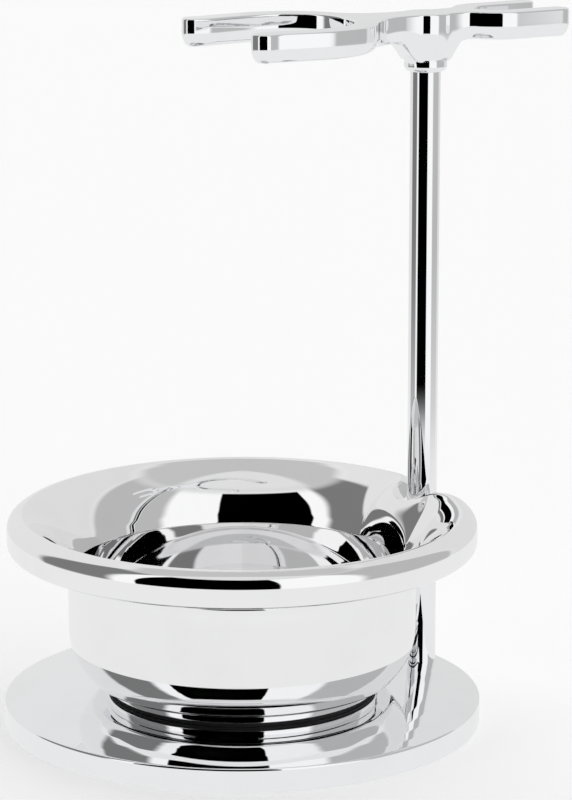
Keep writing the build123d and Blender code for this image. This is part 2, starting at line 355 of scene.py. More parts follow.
def turned_mesh(section: Sequence[Point], steps: int, centre: Point = (0.0, 0.0)) -> bmesh.types.BMesh:
    """Turn a section round an upright axis.

    Args:
        section: Points of the section as radius and height.
        steps: Number of steps round the axis.
        centre: Where the axis stands.

    Returns:
        A closed mesh whose faces point outwards, with its elements in the same order each time.
    """
    weld = 0.0005 * MM
    rows = [section[0]]
    rows += [point for before, point in zip(section, section[1:]) if math.dist(before, point) > weld]
    closed = math.dist(rows[0], rows[-1]) <= weld
    if closed:
        rows.pop()
    mesh = bmesh.new()
    axis_x, axis_y = centre
    turns = [math.tau * step / steps for step in range(steps)]
    rings: list[list[bmesh.types.BMVert]] = []
    for radius, height in rows:
        if radius < weld:
            rings.append([mesh.verts.new((axis_x, axis_y, height))] * steps)
            continue
        places = [(axis_x + radius * math.cos(turn), axis_y + radius * math.sin(turn)) for turn in turns]
        rings.append([mesh.verts.new((x, y, height)) for x, y in places])
    pairs = list(zip(rings, rings[1:]))
    if closed:
        pairs.append((rings[-1], rings[0]))
    for lower, upper in pairs:
        for step in range(steps):
            after = (step + 1) % steps
            around = dict.fromkeys((lower[step], lower[after], upper[after], upper[step]))
            mesh.faces.new(list(around))
    bmesh.ops.recalc_face_normals(mesh, faces=mesh.faces)
    return mesh


def finished_piece(
    mesh: bmesh.types.BMesh,
    name: str,
    body: Body,
    material: bpy.types.Material,
    smoothing: int = 1,
) -> bpy.types.Object:
    """Turn a bmesh into a dressed object that rides on a body.

    Args:
        mesh: The bmesh, which is freed.
        name: The object's name.
        body: The body that the piece rides on.
        material: The piece's material.
        smoothing: Level of the Subdivision Surface modifier, or 0 for none.

    Returns:
        The new object.
    """
    data = bpy.data.meshes.new(name)
    mesh.to_mesh(data)
    mesh.free()
    for polygon in data.polygons:
        polygon.use_smooth = True
    data.materials.append(material)
    piece = bpy.data.objects.new(name, data)
    bpy.context.scene.collection.objects.link(piece)
    if smoothing:
        modifier = piece.modifiers.new("smooth_skin", "SUBSURF")
        modifier.levels = smoothing
        modifier.render_levels = smoothing
    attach(piece, body.value)
    log.info("made %s with %d faces on %s", name, len(data.polygons), body.value)
    return piece


# ---------------------------------------------------------------- the stand's base


@dataclass
class BasePlate:
    """The heavy chromed disc that carries the post and the bowl.

    Attributes:
        radius: Radius of the disc.
        edge_height: Height of the straight edge's top.
        seat_height: Height of the flat where the bowl stands.
        seat_radius: Radius of that flat.
        pad_radius: Radius of the recess in the underside.
        pad_depth: Height of the recess's roof.
        proud: Height at which the plate's underside hangs over the floor.
        steps: Number of steps round the axis.
    """

    radius: float = 55.0 * MM
    edge_height: float = 6.0 * MM
    seat_height: float = 7.7 * MM
    seat_radius: float = 33.0 * MM
    pad_radius: float = 51.2 * MM
    pad_depth: float = 1.6 * MM
    proud: float = 0.4 * MM
    steps: int = 96

    def crown_height(self, radius: float) -> float:
        """Give the top's height at a distance from the axis.

        Args:
            radius: Distance from the axis.

        Returns:
            The height of the crowned top there.
        """
        share = max(0.0, (radius - self.seat_radius) / (self.radius - self.seat_radius))
        return self.seat_height - (self.seat_height - self.edge_height) * share**2

    def section(self) -> list[Point]:
        """Draw the plate's section.

        Returns:
            The section's points, from the underside's centre to the top's centre.
        """
        corners = [
            Corner(0.0, self.pad_depth),
            Corner(self.pad_radius, self.pad_depth, 0.3 * MM),
            Corner(self.pad_radius, self.proud, 0.3 * MM),
            Corner(self.radius, self.proud, 0.5 * MM, 5),
            Corner(self.radius, self.edge_height, 0.5 * MM, 5),
        ]
        for share in (0.86, 0.72, 0.58, 0.44, 0.3, 0.16, 0.05):
            radius = self.seat_radius + (self.radius - self.seat_radius) * share
            corners.append(Corner(radius, self.crown_height(radius)))
        corners.append(Corner(self.seat_radius * 0.8, self.seat_height))
        corners.append(Corner(0.0, self.seat_height))
        return rounded_section(corners, 9.0 * MM)

    def build(self, chrome: bpy.types.Material) -> list[bpy.types.Object]:
        """Make the plate.

        Args:
            chrome: The stand's chrome.

        Returns:
            The plate.
        """
        mesh = turned_mesh(self.section(), self.steps)
        plate = finished_piece(mesh, "plate_skin", Body.STAND, chrome, 2)
        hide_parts("base_plate")
        return [plate]


@dataclass
class Post:
    """The upright rod between the base plate and the holder head.

    Attributes:
        offset: Distance from the frame's axis to the rod's axis.
        radius: Radius of the rod.
        foot_height: Height of the rod's foot inside its socket.
        top_height: Height of the rod's top inside the holder's boss.
        chamfer: Size of the rounding at both ends.
        steps: Number of steps round the axis.
    """

    offset: float = 48.3 * MM
    radius: float = 3.5 * MM
    foot_height: float = 5.5 * MM
    top_height: float = 154.3 * MM
    chamfer: float = 0.3 * MM
    steps: int = 48

    def build(self, chrome: bpy.types.Material) -> list[bpy.types.Object]:
        """Make the rod.

        Args:
            chrome: The stand's chrome.

        Returns:
            The rod.
        """
        corners = [
            Corner(0.0, self.foot_height),
            Corner(self.radius, self.foot_height, self.chamfer),
            Corner(self.radius, self.top_height, self.chamfer),
            Corner(0.0, self.top_height),
        ]
        mesh = turned_mesh(rounded_section(corners, 12.0 * MM), self.steps, (self.offset, 0.0))
        rod = finished_piece(mesh, "post_rod", Body.STAND, chrome, 1)
        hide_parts("post")
        return [rod]


# ---------------------------------------------------------------- the bowl


@dataclass
class BrimNotch:
    """The place where the bowl's brim is pressed in round the post.

    Attributes:
        post_offset: Distance from the bowl's axis to the post's axis.
        pocket_radius: Radius of the pressed-in brim's outer edge, round the post's axis.
        corner_radius: Radius of the two outer corners of the notch.
        lip_radius: Radius of the brim's outer edge away from the notch.
        crest_drop: How far the crest dips at the notch's deepest point.
        crest_run: Length along the edge over which the crest rises again.
        narrowing: Share of the lip's width that is lost at the notch's deepest point.
    """

    post_offset: float = 48.3 * MM
    pocket_radius: float = 4.9 * MM
    corner_radius: float = 7.0 * MM
    lip_radius: float = 54.0 * MM
    crest_drop: float = 2.7 * MM
    crest_run: float = 9.0 * MM
    narrowing: float = 0.34
    edge: list[tuple[float, Vector, Vector]] = field(default_factory=list)

    def __post_init__(self) -> None:
        """Trace the brim's edge once."""
        self.edge = self.traced_edge()

    def corner_centre(self) -> Vector:
        """Find the centre of the outer corner that touches both the pocket and the brim's circle."""
        reach = self.lip_radius - self.corner_radius
        apart = self.pocket_radius + self.corner_radius
        across = (reach**2 - apart**2 + self.post_offset**2) / (2 * self.post_offset)
        return Vector((across, math.sqrt(reach**2 - across**2)))

    def traced_edge(self) -> list[tuple[float, Vector, Vector]]:
        """Trace the brim's outer edge in plan on the +Y side, from the notch's bottom to the far side.

        Returns:
            Rows of length along the edge, point and inward normal.
        """
        corner = self.corner_centre()
        pocket = Vector((self.post_offset, 0.0))
        touch = corner - pocket
        touch_turn = math.atan2(touch.y, touch.x)
        end_turn = math.atan2(corner.y, corner.x)
        arcs = (
            (pocket, self.pocket_radius, math.pi, touch_turn, 1.0),
            (corner, self.corner_radius, touch_turn - math.pi, end_turn, -1.0),
            (Vector((0.0, 0.0)), self.lip_radius, end_turn, math.pi, -1.0),
        )
        rows: list[tuple[float, Vector, Vector]] = []
        length = 0.0
        for centre, radius, start, end, facing in arcs:
            spans = max(24, round(abs(end - start) * radius / (0.25 * MM)))
            for span in range(spans + 1):
                turn = start + (end - start) * span / spans
                out = Vector((math.cos(turn), math.sin(turn)))
                rows.append((length + abs(turn - start) * radius, centre + out * radius, out * facing))
            length += abs(end - start) * radius
        return rows

    @property
    def length(self) -> float:
        """Give the length of half the brim's edge."""
        return self.edge[-1][0]

    def at(self, length: float) -> tuple[Vector, Vector]:
        """Look up the brim's edge.

        Args:
            length: Length along the edge from the notch's bottom.

        Returns:
            The point there and its inward normal.
        """
        low, high = 0, len(self.edge) - 1
        while high - low > 1:
            middle = (low + high) // 2
            if self.edge[middle][0] <= length:
                low = middle
            else:
                high = middle
        start, end = self.edge[low], self.edge[high]
        share = (length - start[0]) / max(end[0] - start[0], 1e-12)
        share = min(max(share, 0.0), 1.0)
        return start[1].lerp(end[1], share), start[2].lerp(end[2], share).normalized()

    @property
    def bend_length(self) -> float:
        """Give the length along the edge at which the notch's corner ends."""
        corner = self.corner_centre()
        touch = corner - Vector((self.post_offset, 0.0))
        touch_turn = math.atan2(touch.y, touch.x)
        end_turn = math.atan2(corner.y, corner.x)
        pocket_run = (math.pi - touch_turn) * self.pocket_radius
        return pocket_run + (end_turn - touch_turn + math.pi) * self.corner_radius


def eased(value: float, start: float, end: float) -> float:
    """Rise smoothly from 0 at the start to 1 at the end.

    Args:
        value: Where to look.
        start: Where the rise begins.
        end: Where the rise ends.

    Returns:
        The eased share.
    """
    share = min(max((value - start) / (end - start), 0.0), 1.0)
    return share * share * (3 - 2 * share)


@dataclass
class BowlShell:
    """The spun bowl with its dished brim and rounded lip.

    Attributes:
        bottom: Height of the shell's underside.
        wall: Thickness of the sheet.
        wall_radius: Outer radius of the upright wall.
        heel_radius: Outer radius where the underside turns up.
        shoulder_height: Height of the shoulder over the underside.
        mouth_radius: Radius of the mouth inside the brim.
        mouth_height: Height of the mouth.
        slope: Slope from the mouth up to the crest.
        dish_turn: Half of the angle that the dish turns through between them.
        crest_radius: Radius of the lip's highest line.
        lip_height: Height of the lip's side.
        notch: The place where the brim is pressed in.
        steps: Number of columns round the bowl.
        gather: Share by which the columns are gathered near the notch.
        fan: Angle by which the columns fan out below the notch.
        fan_run: Length along the edge over which they fan out.
    """

    bottom: float = 10.9 * MM
    wall: float = 1.1 * MM
    wall_radius: float = 40.1 * MM
    heel_radius: float = 35.0 * MM
    shoulder_height: float = 6.8 * MM
    mouth_radius: float = 38.6 * MM
    mouth_height: float = 36.5 * MM
    slope: float = math.radians(48.0)
    dish_turn: float = math.radians(22.0)
    crest_radius: float = 50.8 * MM
    lip_height: float = 8.7 * MM
    notch: BrimNotch = field(default_factory=BrimNotch)
    steps: int = 176
    gather: float = 0.6
    fan: float = math.radians(11.0)
    fan_run: float = 4.0 * MM

    @property
    def crest_height(self) -> float:
        """Give the height of the corner that the crest is rounded from."""
        return self.mouth_height + (self.crest_radius - self.mouth_radius) * math.tan(self.slope)

    @property
    def lip_bottom(self) -> float:
        """Give the height of the lip's underside."""
        return self.crest_height - self.lip_height

    def dish(self, share: float, depth: float) -> Point:
        """Find a point of the brim's dish, which turns steadily from steep to shallow.

        Args:
            share: Share of the way from the mouth to the crest.
            depth: Depth below the dish's skin.

        Returns:
            The point's radius and height.
        """
        start = Vector((self.mouth_radius, self.mouth_height))
        chord = Vector((self.crest_radius, self.crest_height)) - start
        heading = math.atan2(chord.y, chord.x)
        bend = chord.length / (2 * math.sin(self.dish_turn))
        from_centre = heading + math.pi / 2 + self.dish_turn
        centre = start - Vector((math.cos(from_centre), math.sin(from_centre))) * bend
        turn = from_centre - 2 * self.dish_turn * share
        point = centre + Vector((math.cos(turn), math.sin(turn))) * (bend - depth)
        return point.x, point.y

    def section(self) -> list[Point]:
        """Draw the shell's closed section.

        Returns:
            Points from the underside's centre, round the lip, to the floor's centre.
        """
        turn = math.atan2(self.wall_radius - self.heel_radius, self.shoulder_height)
        inner_heel = self.heel_radius - self.wall * math.tan((math.pi / 2 - turn) / 2)
        shoulder = self.bottom + self.shoulder_height
        inner_shoulder = shoulder + self.wall * math.tan(turn / 2)
        lip = self.notch.lip_radius
        floor = self.bottom + self.wall
        corners = [
            Corner(0.0, self.bottom),
            Corner(self.heel_radius, self.bottom, 2.5 * MM, 5),
            Corner(self.wall_radius, shoulder, 14.0 * MM, 5),
            Corner(self.wall_radius, self.mouth_height - 3.2 * MM, 1.5 * MM, 4),
            Corner(*self.dish(0.06, self.wall), 1.0 * MM, 3),
            *(Corner(*self.dish(share, self.wall), flowing=True) for share in (0.16, 0.3, 0.44, 0.58, 0.7)),
            Corner(*self.dish(0.86, self.wall), 0.6 * MM, 3),
            Corner(self.crest_radius, self.lip_bottom, 0.6 * MM, 3),
            Corner(lip, self.lip_bottom, 1.8 * MM, 6),
            Corner(lip, self.crest_height - 2.0 * MM, 3.0 * MM, 6),
            Corner(self.crest_radius, self.crest_height, 2.0 * MM, 7),
            *(
                Corner(*self.dish(share, 0.0), flowing=True)
                for share in (0.86, 0.74, 0.62, 0.5, 0.38, 0.26, 0.14)
            ),
            Corner(self.mouth_radius, self.mouth_height, 1.0 * MM, 5),
            Corner(self.wall_radius - self.wall, inner_shoulder, 13.0 * MM, 5),
            Corner(inner_heel, floor, 1.4 * MM, 5),
            Corner(0.0, floor),
        ]
        return rounded_section(corners, 3.2 * MM)

    def column(self, place: float) -> tuple[float, float, float]:
        """Find where a column of the shell goes.

        Args:
            place: The column's share of the half turn, from the notch to the far side.

        Returns:
            The length along the brim's edge, the edge's bearing there and the column's turn below the mouth.
        """
        length = self.notch.length * ((1 - self.gather) * place + self.gather * place**3)
        point, _ = self.notch.at(length)
        bearing = math.atan2(point.y, point.x)
        fan = self.fan * (1 - math.exp(-length / self.fan_run))
        fan *= 1 - eased(bearing, math.radians(15), math.radians(80))
        return length, bearing, bearing + fan

    def pressed(self, place: float, radius: float, height: float, outside: bool) -> Vector:
        """Find where one point of the shell goes when the notch is pressed in.

        Args:
            place: The column's share of the half turn.
            radius: The point's radius in the section.
            height: The point's height in the section.
            outside: Whether the point lies on the shell's outer skin, below the lip.

        Returns:
            The point's place on the +Y side.
        """
        length, bearing, turn = self.column(place)
        foot = Vector((math.cos(turn), math.sin(turn)))
        end = self.mouth_radius + (self.wall if outside else 0.0)
        if radius <= end or height < self.mouth_height - self.wall:
            return Vector((foot.x * radius, foot.y * radius, height))
        lip = self.notch.lip_radius
        share = (lip - radius) / (lip - end)
        middle = bearing + (turn - bearing) * eased(share, 0.0, 1.0)
        turned = Vector((math.cos(middle), math.sin(middle))) * radius
        start, inward = self.notch.at(length)
        finish = foot * end
        reach = (finish - start).length
        depth = 1.0 - eased(length, 1.0 * MM, self.notch.bend_length)
        power = max(1.0, (1.0 - self.notch.narrowing * depth) * (lip - end) / reach)
        t = 1.0 - (1.0 - share) ** power
        plan = (
            start * (2 * t**3 - 3 * t**2 + 1)
            + inward * (reach * (t**3 - 2 * t**2 + t))
            + finish * (3 * t**2 - 2 * t**3)
            - foot * (reach * (t**3 - t**2))
        )
        away = eased(bearing, math.radians(16), math.radians(34))
        plan = plan.lerp(turned, away)
        base = self.lip_bottom if outside or radius > self.crest_radius else self.mouth_height
        dip = self.notch.crest_drop * (1.0 - eased(length, 0.0, self.notch.crest_run))
        dip *= min(max((height - base) / (self.crest_height - base), 0.0), 1.0)
        return Vector((plan.x, plan.y, height - dip))

    def build(self, chrome: bpy.types.Material) -> list[bpy.types.Object]:
        """Spin the shell and press the notch into its brim.

        Args:
            chrome: The bowl's chrome.

        Returns:
            The shell.
        """
        section = self.section()
        crest = max(range(len(section)), key=lambda index: section[index][1])
        mesh = turned_mesh(section, self.steps)
        for vertex in mesh.verts:
            radius = math.hypot(vertex.co.x, vertex.co.y)
            if radius < 0.01 * MM:
                continue
            turn = math.atan2(vertex.co.y, vertex.co.x)
            place = abs(turn) / math.pi
            outside = self.on_outer_skin(radius, vertex.co.z, section, crest)
            moved = self.pressed(place, radius, vertex.co.z, outside)
            vertex.co = (moved.x, math.copysign(moved.y, turn), moved.z)
        bmesh.ops.recalc_face_normals(mesh, faces=mesh.faces)
        shell = finished_piece(mesh, "bowl_skin", Body.BOWL, chrome, 1)
        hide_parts("bowl_shell")
        return [shell]

    @staticmethod
    def on_outer_skin(radius: float, height: float, section: Sequence[Point], crest: int) -> bool:
        """Tell whether a point belongs to the outer skin.

        Args:
            radius: The point's radius.
            height: The point's height.
            section: The shell's section.
            crest: Index of the section's highest point.

        Returns:
            True for the skin from the underside's centre to the lip.
        """
        apart = [abs(row[0] - radius) + abs(row[1] - height) for row in section]
        nearest = apart.index(min(apart))
        return nearest < crest and height < 47.0 * MM


@dataclass
class BowlFoot:
    """The ring that the bowl stands on, with its thin gasket.

    Attributes:
        outer_radius: Outer radius of the ring.
        width: Width of the ring.
        bottom: Height of the ring's underside.
        top: Height of the ring's top.
        gasket_bottom: Height of the gasket's underside.
        gasket_width: Width of the gasket.
        steps: Number of steps round the axis.
    """

    outer_radius: float = 31.4 * MM
    width: float = 2.3 * MM
    bottom: float = 8.6 * MM
    top: float = 10.9 * MM
    gasket_bottom: float = 7.7 * MM
    gasket_width: float = 1.5 * MM
    steps: int = 96

    def ring(self, inner: float, outer: float, low: float, high: float, rounding: float) -> bmesh.types.BMesh:
        """Turn a ring of rectangular section.

        Args:
            inner: Inner radius.
            outer: Outer radius.
            low: Height of the underside.
            high: Height of the top.
            rounding: Radius of the section's corners.

        Returns:
            The ring's mesh.
        """
        middle = (inner + outer) / 2
        corners = [
            Corner(middle, low),
            Corner(outer, low, rounding),
            Corner(outer, high, rounding),
            Corner(inner, high, rounding),
            Corner(inner, low, rounding),
            Corner(middle, low),
        ]
        return turned_mesh(rounded_section(corners, 2.0 * MM), self.steps)

    def build(self, chrome: bpy.types.Material, rubber: bpy.types.Material) -> list[bpy.types.Object]:
        """Make the ring and its gasket.

        Args:
            chrome: The bowl's chrome.
            rubber: The gasket's rubber.

        Returns:
            The two pieces.
        """
        inner = self.outer_radius - self.width
        foot = self.ring(inner, self.outer_radius, self.bottom, self.top, 0.35 * MM)
        ring = finished_piece(foot, "foot_ring", Body.BOWL, chrome, 1)
        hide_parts("bowl_foot_ring")
        middle = inner + self.width / 2
        half = self.gasket_width / 2
        strip = self.ring(middle - half, middle + half, self.gasket_bottom, self.bottom, 0.2 * MM)
        gasket = finished_piece(strip, "foot_gasket", Body.BOWL, rubber, 1)
        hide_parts("bowl_foot_gasket")
        return [ring, gasket]


# ---------------------------------------------------------------- the holder head


@dataclass
class ForkLine:
    """The centre line of one side of a fork, from its root on the axis to its tip.

    Attributes:
        centre: Distance from the frame's axis to the ring's centre.
        radius: Radius of the ring's centre line.
        stations: The points after the ring's widest point, as distance along X and half gap.
        half_width: Half of the prong's width.
        tip_round: Rounding of the tip's corners.
        forward: -1 for a fork that opens towards -X, +1 for one that opens towards +X.
    """

    centre: float
    radius: float
    stations: Sequence[Point]
    half_width: float
    tip_round: float
    forward: float

    def centre_line(self, start_turn: float) -> list[tuple[Vector, Vector]]:
        """Trace the centre line.

        Args:
            start_turn: Angle round the ring's centre where the line starts, 0 being the root.

        Returns:
            Points and headings.
        """
        rows: list[tuple[Vector, Vector]] = []
        spans = 44
        for span in range(spans + 1):
            turn = start_turn + (math.pi / 2 - start_turn) * span / spans
            place = Vector((-self.forward * math.cos(turn), math.sin(turn))) * self.radius
            heading = Vector((self.forward * math.sin(turn), math.cos(turn)))
            rows.append((Vector((self.centre, 0.0)) + place, heading))
        for station in self.stations:
            start, heading = rows[-1]
            chord = Vector(station) - start
            swing = heading.angle_signed(chord) * -2
            count = max(6, round(chord.length / (0.6 * MM)))
            bend = chord.length / (2 * math.sin(abs(swing) / 2)) if abs(swing) > 1e-4 else 0.0
            side = Vector((-heading.y, heading.x)) * math.copysign(1.0, swing)
            for span in range(1, count + 1):
                share = span / count
                if bend == 0.0:
                    rows.append((start + chord * share, heading.copy()))
                    continue
                turned = Matrix.Rotation(swing * share, 2)
                centre = start + side * bend
                rows.append((centre + turned @ (start - centre), turned @ heading))
        return rows

    def tip(self) -> list[Vector]:
        """Round the tip from the inner side to the outer side.

        Returns:
            The tip's outline.
        """
        rows = self.centre_line(0.0)
        half, corner = self.half_width, self.tip_round
        points: list[Vector] = []
        for side in (-1.0, 1.0):
            for step in range(13):
                turn = math.pi / 2 * step / 12
                across = math.cos(turn) if side < 0 else math.sin(turn)
                along = math.sin(turn) if side < 0 else math.cos(turn)
                place, heading = self.back_from_tip(rows, corner * (1 - along))
                outward = Vector((-heading.y, heading.x)) * self.forward
                points.append(place + outward * (side * (half - corner + across * corner)))
        return points

    @staticmethod
    def back_from_tip(rows: list[tuple[Vector, Vector]], distance: float) -> tuple[Vector, Vector]:
        """Walk back along the centre line from its tip.

        Args:
            rows: The centre line's points and headings.
            distance: How far to walk.

        Returns:
            The point and heading there.
        """
        left = distance
        for (ahead, heading), (behind, before) in zip(rows[::-1], rows[-2::-1]):
            span = (ahead - behind).length
            if left <= span:
                share = left / span
                return ahead.lerp(behind, share), heading.lerp(before, share).normalized()
            left -= span
        return rows[0]

    def side(self, sign: float, start_turn: float) -> list[Vector]:
        """Trace one side of the prong from near its root to the start of its tip.

        Args:
            sign: -1 for the inner side, +1 for the outer side.
            start_turn: Angle round the ring's centre where the side starts.

        Returns:
            The side's outline.
        """
        rows = self.centre_line(start_turn)
        end = rows[-1][0]
        points = []
        for place, heading in rows:
            if (end - place).length < self.tip_round + 0.3 * MM:
                continue
            outward = Vector((-heading.y, heading.x)) * self.forward
            points.append(place + outward * (sign * self.half_width))
        return points


@dataclass
class HolderHead:
    """The four-pronged casting at the top of the post, flat above and rounded below.

    Attributes:
        post_offset: Distance from the frame's axis to the post's axis.
        top: Height of the head's top.
        side_height: Height of the prongs' upright side with the top's rounding.
        belly_height: Height of the rounded belly.
        top_round: Rounding of the top's edge.
        belly_inset: How far the belly draws in.
        hub_radius: Radius of the hub round the post.
        neck_half_width: Half of the neck's width.
        hub_blend: Radius between the hub and the neck.
        brush_blend: Radius between the neck and the brush fork.
        razor_blend: Radius between the neck and the razor fork.
        brush: The brush fork's centre line.
        razor: The razor fork's centre line.
        boss_radius: Radius of the boss below the hub.
        boss_bottom: Height of the boss's end.
        flare: Size of the hollow rounding between the boss and the arms.
        hub_run: Distance outside the hub over which the arms' belly settles.
        hub_sink: How far the belly dips into the boss at the hub.
    """

    post_offset: float = 48.3 * MM
    top: float = 161.4 * MM
    side_height: float = 3.0 * MM
    belly_height: float = 3.5 * MM
    top_round: float = 0.5 * MM
    belly_inset: float = 1.9 * MM
    hub_radius: float = 5.7 * MM
    neck_half_width: float = 4.4 * MM
    hub_blend: float = 3.0 * MM
    brush_blend: float = 13.0 * MM
    razor_blend: float = 4.0 * MM
    brush: ForkLine = field(
        default_factory=lambda: ForkLine(
            centre=12.3 * MM,
            radius=17.4 * MM,
            stations=((1.3 * MM, 16.6 * MM), (-5.7 * MM, 17.3 * MM)),
            half_width=2.8 * MM,
            tip_round=2.5 * MM,
            forward=-1.0,
        )
    )
    razor: ForkLine = field(
        default_factory=lambda: ForkLine(
            centre=66.9 * MM,
            radius=7.4 * MM,
            stations=((81.9 * MM, 7.6 * MM),),
            half_width=2.6 * MM,
            tip_round=2.4 * MM,
            forward=1.0,
        )
    )
    boss_radius: float = 4.9 * MM
    boss_bottom: float = 147.9 * MM
    flare: float = 5.6 * MM
    hub_run: float = 4.0 * MM
    hub_sink: float = 4.5 * MM

    @staticmethod
    def arc(centre: Vector, radius: float, start: float, end: float, span: float = 0.6 * MM) -> list[Vector]:
        """Draw an arc.

        Args:
            centre: The arc's centre.
            radius: Its radius.
            start: Its first angle.
            end: Its last angle.
            span: Longest span between its points.

        Returns:
            The arc's points.
        """
        count = max(4, math.ceil(abs(end - start) * radius / span))
        turns = [start + (end - start) * step / count for step in range(count + 1)]
        return [centre + Vector((math.cos(turn), math.sin(turn))) * radius for turn in turns]

    def neck_blend(self, fork: ForkLine, blend: float) -> tuple[list[Vector], float]:
        """Draw the rounding between a fork's outer side and the neck.

        Args:
            fork: The fork.
            blend: The rounding's radius.

        Returns:
            The rounding from the fork to the neck, and the fork's angle where it starts.
        """
        outer = fork.radius + fork.half_width
        rise = self.neck_half_width + blend
        run = math.sqrt((outer + blend) ** 2 - rise**2)
        centre = Vector((fork.centre - fork.forward * run, rise))
        start = math.asin(rise / (outer + blend))
        toward = Vector((fork.centre, 0.0)) - centre
        first = math.atan2(toward.y, toward.x)
        return self.arc(centre, blend, first, -math.pi / 2), start

    def half_outline(self) -> list[Vector]:
        """Trace the plan's outline on the +Y side, from the brush fork's crotch to the razor fork's.

        Returns:
            The outline's points.
        """
        brush_blend, brush_start = self.neck_blend(self.brush, self.brush_blend)
        razor_blend, razor_start = self.neck_blend(self.razor, self.razor_blend)
        hub = Vector((self.post_offset, 0.0))
        rise = self.neck_half_width + self.hub_blend
        run = math.sqrt((self.hub_radius + self.hub_blend) ** 2 - rise**2)
        lean = math.atan2(rise, run)
        line: list[Vector] = []
        line += self.brush.side(-1.0, 0.0)
        line += self.brush.tip()
        line += reversed(self.brush.side(1.0, brush_start))
        line += brush_blend
        line += self.arc(hub + Vector((-run, rise)), self.hub_blend, -math.pi / 2, -lean)
        line += self.arc(hub, self.hub_radius, math.pi - lean, lean)
        line += self.arc(hub + Vector((run, rise)), self.hub_blend, math.pi + lean, 3 * math.pi / 2)
        line += reversed(razor_blend)
        line += self.razor.side(1.0, razor_start)
        line += reversed(self.razor.tip())
        line += reversed(self.razor.side(-1.0, 0.0))
        clean = [line[0]]
        for point in line[1:]:
            if (point - clean[-1]).length > 0.02 * MM:
                clean.append(point)
        return clean

    def outline(self) -> list[Vector]:
        """Mirror the half outline.

        Returns:
            The closed outline.
        """
        half = self.half_outline()
        half[0].y = 0.0
        half[-1].y = 0.0
        return half + [Vector((point.x, -point.y)) for point in reversed(half[1:-1])]

    def rings(self) -> list[tuple[float, float, float]]:
        """List the rings of the prongs' section.

        Returns:
            Rows of inset, depth below the top and the share of the belly that is passed.
        """
        rows = [(self.top_round + 0.25 * MM, 0.0, 0.0)]
        for step in range(5):
            turn = math.pi / 2 * step / 4
            rows.append((self.top_round * (1 - math.sin(turn)), self.top_round * (1 - math.cos(turn)), 0.0))
        rows.append((0.0, self.top_round + 0.2 * MM, 0.0))
        rows.append((0.0, self.side_height - 0.2 * MM, 0.0))
        for step in range(13):
            turn = math.pi / 2 * step / 12
            inset = self.belly_inset * (1 - math.cos(turn))
            rows.append((inset, self.side_height + self.belly_height * math.sin(turn), step / 12))
        rows.append((self.belly_inset + 0.12 * MM, self.side_height + self.belly_height, 1.0))
        return rows

    def build_arms(self) -> bmesh.types.BMesh:
        """Build the hub, the neck and the four prongs.

        Returns:
            The closed mesh.
        """
        outline = self.outline()
        count = len(outline)
        inwards: list[Vector] = []
        for index in range(count):
            before = (outline[index] - outline[index - 1]).normalized()
            after = (outline[(index + 1) % count] - outline[index]).normalized()
            along = before + after
            inwards.append(Vector((along.y, -along.x)).normalized())
        turning = sum(a.x * b.y - b.x * a.y for a, b in zip(outline, outline[1:] + outline[:1]))
        if turning > 0:
            inwards = [-inward for inward in inwards]
        hub = Vector((self.post_offset, 0.0))
        step_in = self.hub_radius - self.boss_radius
        mesh = bmesh.new()
        loops: list[list[bmesh.types.BMVert]] = []
        for inset, depth, belly in self.rings():
            loop = []
            for point, inward in zip(outline, inwards):
                apart = (point - hub).length
                near = 1.0 - eased(apart, self.hub_radius + 0.1 * MM, self.hub_radius + self.hub_run)
                tucked = step_in * eased(belly, 0.0, 1.0) if belly > 0.0 else inset
                drawn = inset + (tucked - inset) * near
                place = point + inward * drawn
                sunk = depth + near * belly * self.hub_sink
                loop.append(mesh.verts.new((place.x, place.y, self.top - sunk)))
            loops.append(loop)
        for upper, lower in zip(loops[:-1], loops[1:]):
            for index in range(count):
                after = (index + 1) % count
                mesh.faces.new((upper[index], upper[after], lower[after], lower[index]))
        caps = [mesh.faces.new(loops[0]), mesh.faces.new(list(reversed(loops[-1])))]
        bmesh.ops.recalc_face_normals(mesh, faces=mesh.faces)
        bmesh.ops.triangulate(mesh, faces=caps, quad_method="BEAUTY", ngon_method="BEAUTY")
        return mesh

    def build_boss(self) -> bmesh.types.BMesh:
        """Turn the boss and draw its flare out along the neck.

        Returns:
            The closed mesh.
        """
        arms_bottom = self.top - self.side_height - self.belly_height
        corners = [
            Corner(0.0, self.boss_bottom),
            Corner(self.boss_radius, self.boss_bottom, 1.2 * MM, 6),
            Corner(self.boss_radius, arms_bottom - self.flare),
        ]
        for step in range(1, 11):
            turn = math.pi / 2 * step / 10 * 0.92
            radius = self.boss_radius + self.flare * (1 - math.cos(turn))
            height = arms_bottom - self.flare + self.flare * math.sin(turn)
            corners.append(Corner(radius, height, flowing=True))
        last = corners[-1]
        corners.append(Corner(last.radius, last.height + 1.6 * MM))
        corners.append(Corner(0.0, last.height + 1.6 * MM))
        mesh = turned_mesh(rounded_section(corners, 1.2 * MM), 96, (self.post_offset, 0.0))
        for vertex in mesh.verts:
            away = Vector((vertex.co.x - self.post_offset, vertex.co.y))
            radius = away.length
            if radius <= self.boss_radius + 0.001 * MM:
                continue
            sine = abs(away.y) / radius
            limit = min(self.boss_radius + self.flare, (self.neck_half_width - 0.9 * MM) / max(sine, 0.05))
            limit = max(limit, self.boss_radius + 0.05 * MM)
            stretch = (limit - self.boss_radius) / self.flare
            away *= (self.boss_radius + (radius - self.boss_radius) * stretch) / radius
            vertex.co.x = self.post_offset + away.x
            vertex.co.y = away.y
        bmesh.ops.recalc_face_normals(mesh, faces=mesh.faces)
        return mesh

